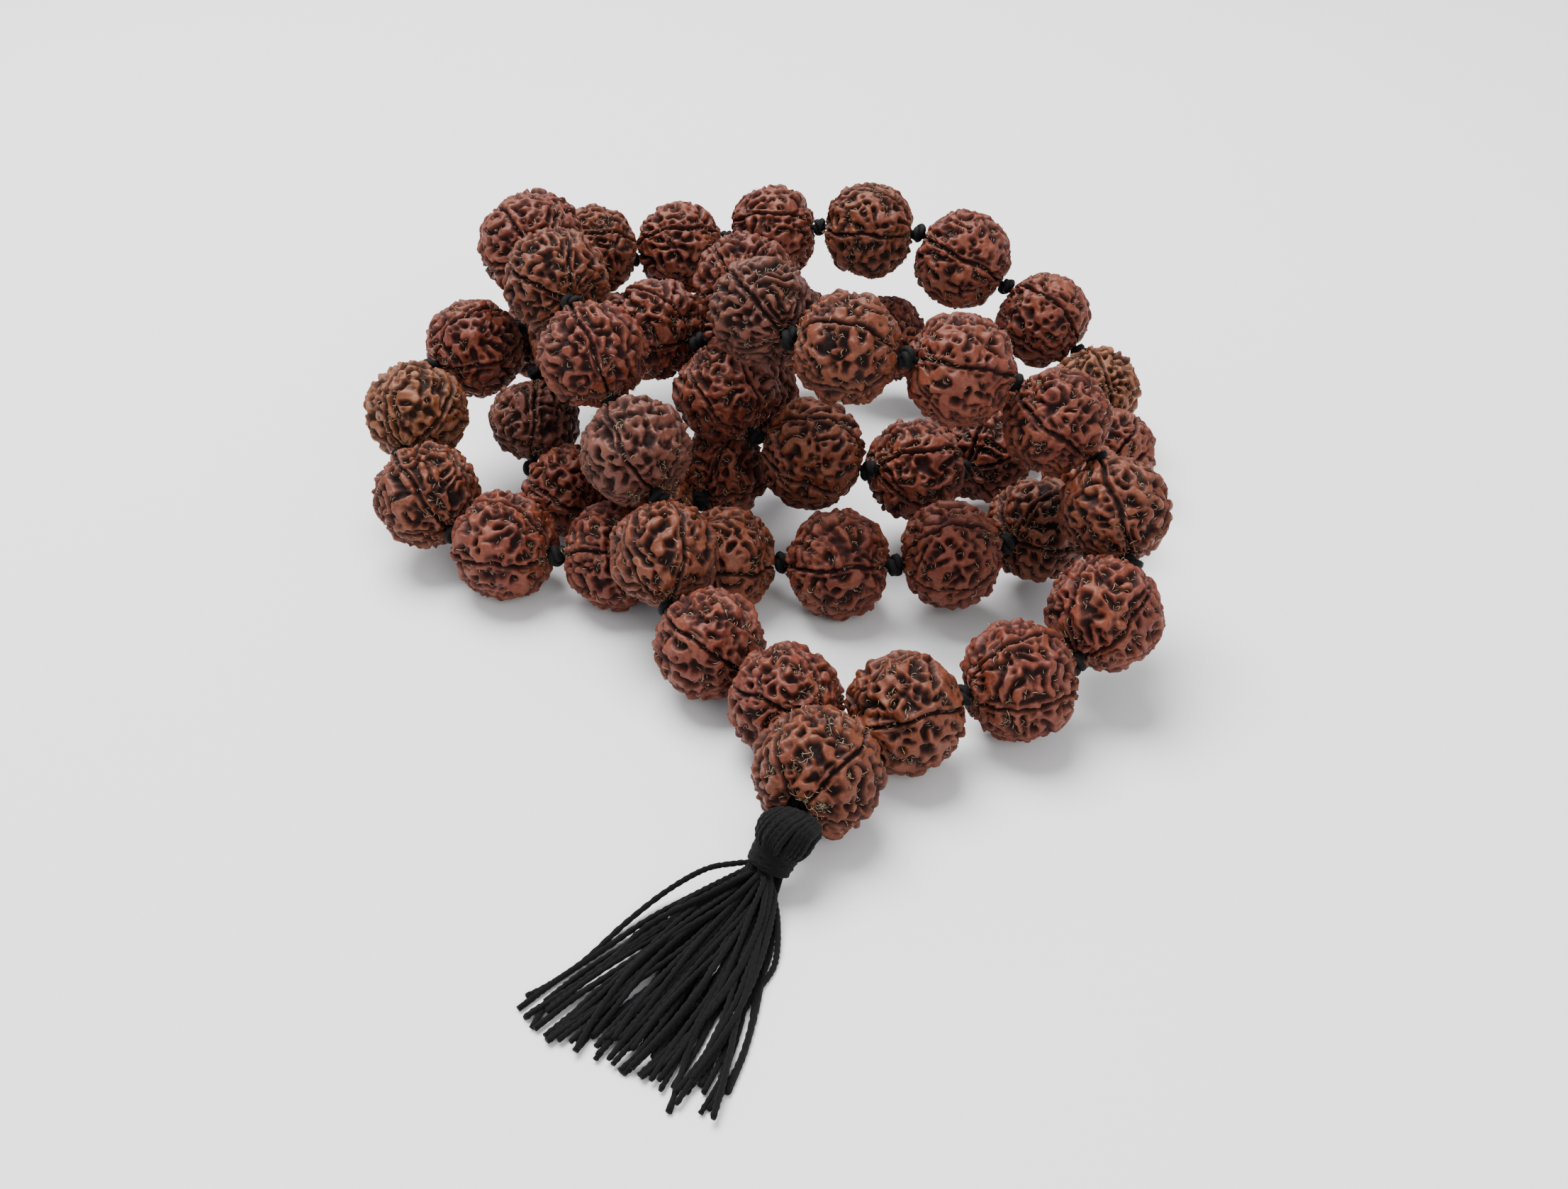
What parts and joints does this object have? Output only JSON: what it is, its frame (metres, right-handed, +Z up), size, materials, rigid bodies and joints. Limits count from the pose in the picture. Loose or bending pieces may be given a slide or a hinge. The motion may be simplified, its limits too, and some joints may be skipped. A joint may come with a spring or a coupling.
{
  "type": "mala prayer beads",
  "caption": "Loose heap of a knotted mala: ridged dried seeds on one black string, closed by a larger guru bead with a black yarn tassel.",
  "frame": {"origin": "on the ground, under the middle of the box round the whole heap and its tassel", "axes": "+Z up; +Y from the tassel towards the back of the heap, which is its longest extent; +X to the right as seen from the tassel"},
  "size_m": [0.1634, 0.2318, 0.0655],
  "materials": {
    "seed_red": "matt, ridged dried seed, slightly polished on its ridges",
    "seed_brown": "matt, ridged dried seed, slightly polished on its ridges",
    "seed_tan": "matt, ridged dried seed, slightly polished on its ridges",
    "seed_grey": "matt, ridged dried seed, slightly polished on its ridges",
    "black_string": "matt braided waxed string",
    "black_yarn": "soft matt cotton yarn"
  },
  "bodies": {
    "string": {"cord": "black_string", "knots": "black_string"},
    "bead_01": {"bead_01": "seed_red"},
    "bead_02": {"bead_02": "seed_red"},
    "bead_03": {"bead_03": "seed_brown"},
    "bead_04": {"bead_04": "seed_grey"},
    "bead_05": {"bead_05": "seed_red"},
    "bead_06": {"bead_06": "seed_brown"},
    "bead_07": {"bead_07": "seed_red"},
    "bead_08": {"bead_08": "seed_red"},
    "bead_09": {"bead_09": "seed_brown"},
    "bead_10": {"bead_10": "seed_red"},
    "bead_11": {"bead_11": "seed_red"},
    "bead_12": {"bead_12": "seed_brown"},
    "bead_13": {"bead_13": "seed_red"},
    "bead_14": {"bead_14": "seed_red"},
    "bead_15": {"bead_15": "seed_tan"},
    "bead_16": {"bead_16": "seed_red"},
    "bead_17": {"bead_17": "seed_red"},
    "bead_18": {"bead_18": "seed_brown"},
    "bead_19": {"bead_19": "seed_red"},
    "bead_20": {"bead_20": "seed_red"},
    "bead_21": {"bead_21": "seed_brown"},
    "bead_22": {"bead_22": "seed_red"},
    "bead_23": {"bead_23": "seed_red"},
    "bead_24": {"bead_24": "seed_brown"},
    "bead_25": {"bead_25": "seed_tan"},
    "bead_26": {"bead_26": "seed_red"},
    "bead_27": {"bead_27": "seed_brown"},
    "bead_28": {"bead_28": "seed_grey"},
    "bead_29": {"bead_29": "seed_red"},
    "bead_30": {"bead_30": "seed_brown"},
    "bead_31": {"bead_31": "seed_red"},
    "bead_32": {"bead_32": "seed_red"},
    "bead_33": {"bead_33": "seed_brown"},
    "bead_34": {"bead_34": "seed_red"},
    "bead_35": {"bead_35": "seed_red"},
    "bead_36": {"bead_36": "seed_brown"},
    "bead_37": {"bead_37": "seed_red"},
    "bead_38": {"bead_38": "seed_red"},
    "bead_39": {"bead_39": "seed_brown"},
    "bead_40": {"bead_40": "seed_grey"},
    "bead_41": {"bead_41": "seed_red"},
    "bead_42": {"bead_42": "seed_brown"},
    "bead_43": {"bead_43": "seed_red"},
    "bead_44": {"bead_44": "seed_red"},
    "bead_45": {"bead_45": "seed_brown"},
    "bead_46": {"bead_46": "seed_red"},
    "bead_47": {"bead_47": "seed_grey"},
    "bead_48": {"bead_48": "seed_brown"},
    "bead_49": {"bead_49": "seed_red"},
    "bead_50": {"bead_50": "seed_red"},
    "bead_51": {"bead_51": "seed_brown"},
    "bead_52": {"bead_52": "seed_red"},
    "bead_53": {"bead_53": "seed_red"},
    "bead_54": {"bead_54": "seed_brown"},
    "guru_bead": {"guru_bead": "seed_brown"},
    "tassel": {"tassel_head": "black_yarn", "tassel_binding": "black_yarn", "tassel_skirt": "black_yarn"}
  },
  "joints": [
    {"name": "tassel_swing", "type": "hinge", "parent": "string", "child": "tassel", "pos_m": [0.0041, -0.06637, 0.0106], "axis": [0, 0, 1], "range_deg": [-25, 25]},
    {"name": "bead_01_spin", "type": "hinge", "parent": "string", "child": "bead_01", "pos_m": [0.00359, -0.03378, 0.01], "axis": [-0.5976, 0.7889, -0.1434], "continuous": true},
    {"name": "bead_02_spin", "type": "hinge", "parent": "string", "child": "bead_02", "pos_m": [-0.00991, -0.01828, 0.011], "axis": [-0.687, 0.687, 0.2369], "continuous": true},
    {"name": "bead_03_spin", "type": "hinge", "parent": "string", "child": "bead_03", "pos_m": [-0.01841, -0.00303, 0.02025], "axis": [-0.1186, 0.7589, 0.6403], "continuous": true},
    {"name": "bead_04_spin", "type": "hinge", "parent": "string", "child": "bead_04", "pos_m": [-0.02416, 0.01347, 0.03225], "axis": [-0.4107, 0.7757, 0.4791], "continuous": true},
    {"name": "bead_05_spin", "type": "hinge", "parent": "string", "child": "bead_05", "pos_m": [-0.03291, 0.02922, 0.0445], "axis": [-0.3886, 0.6629, 0.64], "continuous": true},
    {"name": "bead_06_spin", "type": "hinge", "parent": "string", "child": "bead_06", "pos_m": [-0.04116, 0.04647, 0.052], "axis": [-0.371, 0.9275, 0.0464], "continuous": true},
    {"name": "bead_07_spin", "type": "hinge", "parent": "string", "child": "bead_07", "pos_m": [-0.04891, 0.06647, 0.051], "axis": [-0.3477, 0.9272, -0.1391], "continuous": true},
    {"name": "bead_08_spin", "type": "hinge", "parent": "string", "child": "bead_08", "pos_m": [-0.05041, 0.08597, 0.04475], "axis": [0.2072, 0.875, -0.4375], "continuous": true},
    {"name": "bead_09_spin", "type": "hinge", "parent": "string", "child": "bead_09", "pos_m": [-0.03966, 0.10022, 0.036], "axis": [0.8075, 0.4512, -0.38], "continuous": true},
    {"name": "bead_10_spin", "type": "hinge", "parent": "string", "child": "bead_10", "pos_m": [-0.02041, 0.10547, 0.03425], "axis": [0.9778, 0.0455, 0.2047], "continuous": true},
    {"name": "bead_11_spin", "type": "hinge", "parent": "string", "child": "bead_11", "pos_m": [0.00084, 0.10397, 0.03875], "axis": [0.9613, -0.1831, 0.206], "continuous": true},
    {"name": "bead_12_spin", "type": "hinge", "parent": "string", "child": "bead_12", "pos_m": [0.02234, 0.09997, 0.041], "axis": [0.9839, -0.1789, 0], "continuous": true},
    {"name": "bead_13_spin", "type": "hinge", "parent": "string", "child": "bead_13", "pos_m": [0.04309, 0.09422, 0.03625], "axis": [0.8496, -0.3268, -0.4139], "continuous": true},
    {"name": "bead_14_spin", "type": "hinge", "parent": "string", "child": "bead_14", "pos_m": [0.06084, 0.08572, 0.02575], "axis": [0.7314, -0.4343, -0.5257], "continuous": true},
    {"name": "bead_15_spin", "type": "hinge", "parent": "string", "child": "bead_15", "pos_m": [0.07134, 0.07222, 0.01475], "axis": [0.238, -0.8329, -0.4997], "continuous": true},
    {"name": "bead_16_spin", "type": "hinge", "parent": "string", "child": "bead_16", "pos_m": [0.07184, 0.05322, 0.01], "axis": [-0.1913, -0.9804, 0.0478], "continuous": true},
    {"name": "bead_17_spin", "type": "hinge", "parent": "string", "child": "bead_17", "pos_m": [0.06459, 0.03372, 0.011], "axis": [-0.4931, -0.8687, 0.047], "continuous": true},
    {"name": "bead_18_spin", "type": "hinge", "parent": "string", "child": "bead_18", "pos_m": [0.05234, 0.01672, 0.01325], "axis": [-0.6611, -0.7319, 0.1653], "continuous": true},
    {"name": "bead_19_spin", "type": "hinge", "parent": "string", "child": "bead_19", "pos_m": [0.03484, 0.00772, 0.01325], "axis": [-0.9797, -0.1166, -0.1633], "continuous": true},
    {"name": "bead_20_spin", "type": "hinge", "parent": "string", "child": "bead_20", "pos_m": [0.01359, 0.00872, 0.0105], "axis": [-0.9748, 0.204, -0.0907], "continuous": true},
    {"name": "bead_21_spin", "type": "hinge", "parent": "string", "child": "bead_21", "pos_m": [-0.00766, 0.01122, 0.01], "axis": [-0.9986, 0.0238, 0.0476], "continuous": true},
    {"name": "bead_22_spin", "type": "hinge", "parent": "string", "child": "bead_22", "pos_m": [-0.02916, 0.01172, 0.0105], "axis": [-0.9997, 0.0227, 0], "continuous": true},
    {"name": "bead_23_spin", "type": "hinge", "parent": "string", "child": "bead_23", "pos_m": [-0.05066, 0.01547, 0.0105], "axis": [-0.9487, 0.3162, 0], "continuous": true},
    {"name": "bead_24_spin", "type": "hinge", "parent": "string", "child": "bead_24", "pos_m": [-0.06716, 0.02722, 0.01475], "axis": [-0.5429, 0.7465, 0.3846], "continuous": true},
    {"name": "bead_25_spin", "type": "hinge", "parent": "string", "child": "bead_25", "pos_m": [-0.07141, 0.04497, 0.024], "axis": [0.1609, 0.8734, 0.4597], "continuous": true},
    {"name": "bead_26_spin", "type": "hinge", "parent": "string", "child": "bead_26", "pos_m": [-0.06141, 0.06147, 0.03025], "axis": [0.7575, 0.6427, 0.1148], "continuous": true},
    {"name": "bead_27_spin", "type": "hinge", "parent": "string", "child": "bead_27", "pos_m": [-0.04791, 0.07622, 0.02625], "axis": [0.4892, 0.7221, -0.4892], "continuous": true},
    {"name": "bead_28_spin", "type": "hinge", "parent": "string", "child": "bead_28", "pos_m": [-0.03316, 0.08872, 0.02025], "axis": [0.8922, 0.4461, -0.0704], "continuous": true},
    {"name": "bead_29_spin", "type": "hinge", "parent": "string", "child": "bead_29", "pos_m": [-0.01366, 0.09622, 0.01675], "axis": [0.932, 0.2563, -0.2563], "continuous": true},
    {"name": "bead_30_spin", "type": "hinge", "parent": "string", "child": "bead_30", "pos_m": [0.00659, 0.09922, 0.0165], "axis": [0.9712, 0.0237, 0.2369], "continuous": true},
    {"name": "bead_31_spin", "type": "hinge", "parent": "string", "child": "bead_31", "pos_m": [0.02634, 0.09597, 0.01575], "axis": [0.8934, -0.3292, -0.3056], "continuous": true},
    {"name": "bead_32_spin", "type": "hinge", "parent": "string", "child": "bead_32", "pos_m": [0.04259, 0.08447, 0.011], "axis": [0.6384, -0.7566, -0.1419], "continuous": true},
    {"name": "bead_33_spin", "type": "hinge", "parent": "string", "child": "bead_33", "pos_m": [0.04959, 0.06597, 0.01125], "axis": [0.0235, -0.9861, 0.1644], "continuous": true},
    {"name": "bead_34_spin", "type": "hinge", "parent": "string", "child": "bead_34", "pos_m": [0.04459, 0.04622, 0.014], "axis": [-0.4914, -0.8659, 0.0936], "continuous": true},
    {"name": "bead_35_spin", "type": "hinge", "parent": "string", "child": "bead_35", "pos_m": [0.02959, 0.03297, 0.01725], "axis": [-0.9048, -0.3712, 0.2088], "continuous": true},
    {"name": "bead_36_spin", "type": "hinge", "parent": "string", "child": "bead_36", "pos_m": [0.00884, 0.03047, 0.02225], "axis": [-0.9618, 0.1311, 0.2404], "continuous": true},
    {"name": "bead_37_spin", "type": "hinge", "parent": "string", "child": "bead_37", "pos_m": [-0.00791, 0.03822, 0.03225], "axis": [-0.5149, 0.5597, 0.6493], "continuous": true},
    {"name": "bead_38_spin", "type": "hinge", "parent": "string", "child": "bead_38", "pos_m": [-0.02266, 0.05047, 0.03975], "axis": [-0.8318, 0.5546, 0.0231], "continuous": true},
    {"name": "bead_39_spin", "type": "hinge", "parent": "string", "child": "bead_39", "pos_m": [-0.03966, 0.05522, 0.034], "axis": [-0.7938, -0.124, -0.5954], "continuous": true},
    {"name": "bead_40_spin", "type": "hinge", "parent": "string", "child": "bead_40", "pos_m": [-0.04791, 0.04747, 0.02075], "axis": [-0.0257, -0.6673, -0.7443], "continuous": true},
    {"name": "bead_41_spin", "type": "hinge", "parent": "string", "child": "bead_41", "pos_m": [-0.04066, 0.03497, 0.01125], "axis": [0.7603, -0.6082, -0.2281], "continuous": true},
    {"name": "bead_42_spin", "type": "hinge", "parent": "string", "child": "bead_42", "pos_m": [-0.02341, 0.03097, 0.0095], "axis": [0.9784, 0.2007, 0.0502], "continuous": true},
    {"name": "bead_43_spin", "type": "hinge", "parent": "string", "child": "bead_43", "pos_m": [-0.00916, 0.04172, 0.012], "axis": [0.4482, 0.8715, 0.1992], "continuous": true},
    {"name": "bead_44_spin", "type": "hinge", "parent": "string", "child": "bead_44", "pos_m": [-0.00291, 0.05522, 0.0225], "axis": [0.1769, 0.4801, 0.8592], "continuous": true},
    {"name": "bead_45_spin", "type": "hinge", "parent": "string", "child": "bead_45", "pos_m": [-0.00191, 0.05622, 0.04025], "axis": [-0.0749, -0.3746, 0.9241], "continuous": true},
    {"name": "bead_46_spin", "type": "hinge", "parent": "string", "child": "bead_46", "pos_m": [-0.00416, 0.04297, 0.053], "axis": [-0.1466, -0.9282, 0.342], "continuous": true},
    {"name": "bead_47_spin", "type": "hinge", "parent": "string", "child": "bead_47", "pos_m": [-0.00066, 0.02422, 0.0555], "axis": [0.4734, -0.8758, -0.0947], "continuous": true},
    {"name": "bead_48_spin", "type": "hinge", "parent": "string", "child": "bead_48", "pos_m": [0.01459, 0.01197, 0.054], "axis": [0.9587, -0.2806, -0.0468], "continuous": true},
    {"name": "bead_49_spin", "type": "hinge", "parent": "string", "child": "bead_49", "pos_m": [0.03484, 0.01122, 0.05], "axis": [0.9233, 0.2077, -0.3231], "continuous": true},
    {"name": "bead_50_spin", "type": "hinge", "parent": "string", "child": "bead_50", "pos_m": [0.05259, 0.00997, 0.0405], "axis": [0.7447, -0.3363, -0.5765], "continuous": true},
    {"name": "bead_51_spin", "type": "hinge", "parent": "string", "child": "bead_51", "pos_m": [0.06259, -0.00203, 0.0285], "axis": [0.2114, -0.7985, -0.5637], "continuous": true},
    {"name": "bead_52_spin", "type": "hinge", "parent": "string", "child": "bead_52", "pos_m": [0.05934, -0.01853, 0.0175], "axis": [-0.5037, -0.7326, -0.4579], "continuous": true},
    {"name": "bead_53_spin", "type": "hinge", "parent": "string", "child": "bead_53", "pos_m": [0.04359, -0.03028, 0.01175], "axis": [-0.9369, -0.3428, -0.0686], "continuous": true},
    {"name": "bead_54_spin", "type": "hinge", "parent": "string", "child": "bead_54", "pos_m": [0.02359, -0.03878, 0.01125], "axis": [-0.8988, -0.4379, 0.023], "continuous": true},
    {"name": "guru_spin", "type": "hinge", "parent": "string", "child": "guru_bead", "pos_m": [0.00874, -0.05423, 0.0113], "axis": [-0.357, -0.9341, 0], "continuous": true}
  ]
}
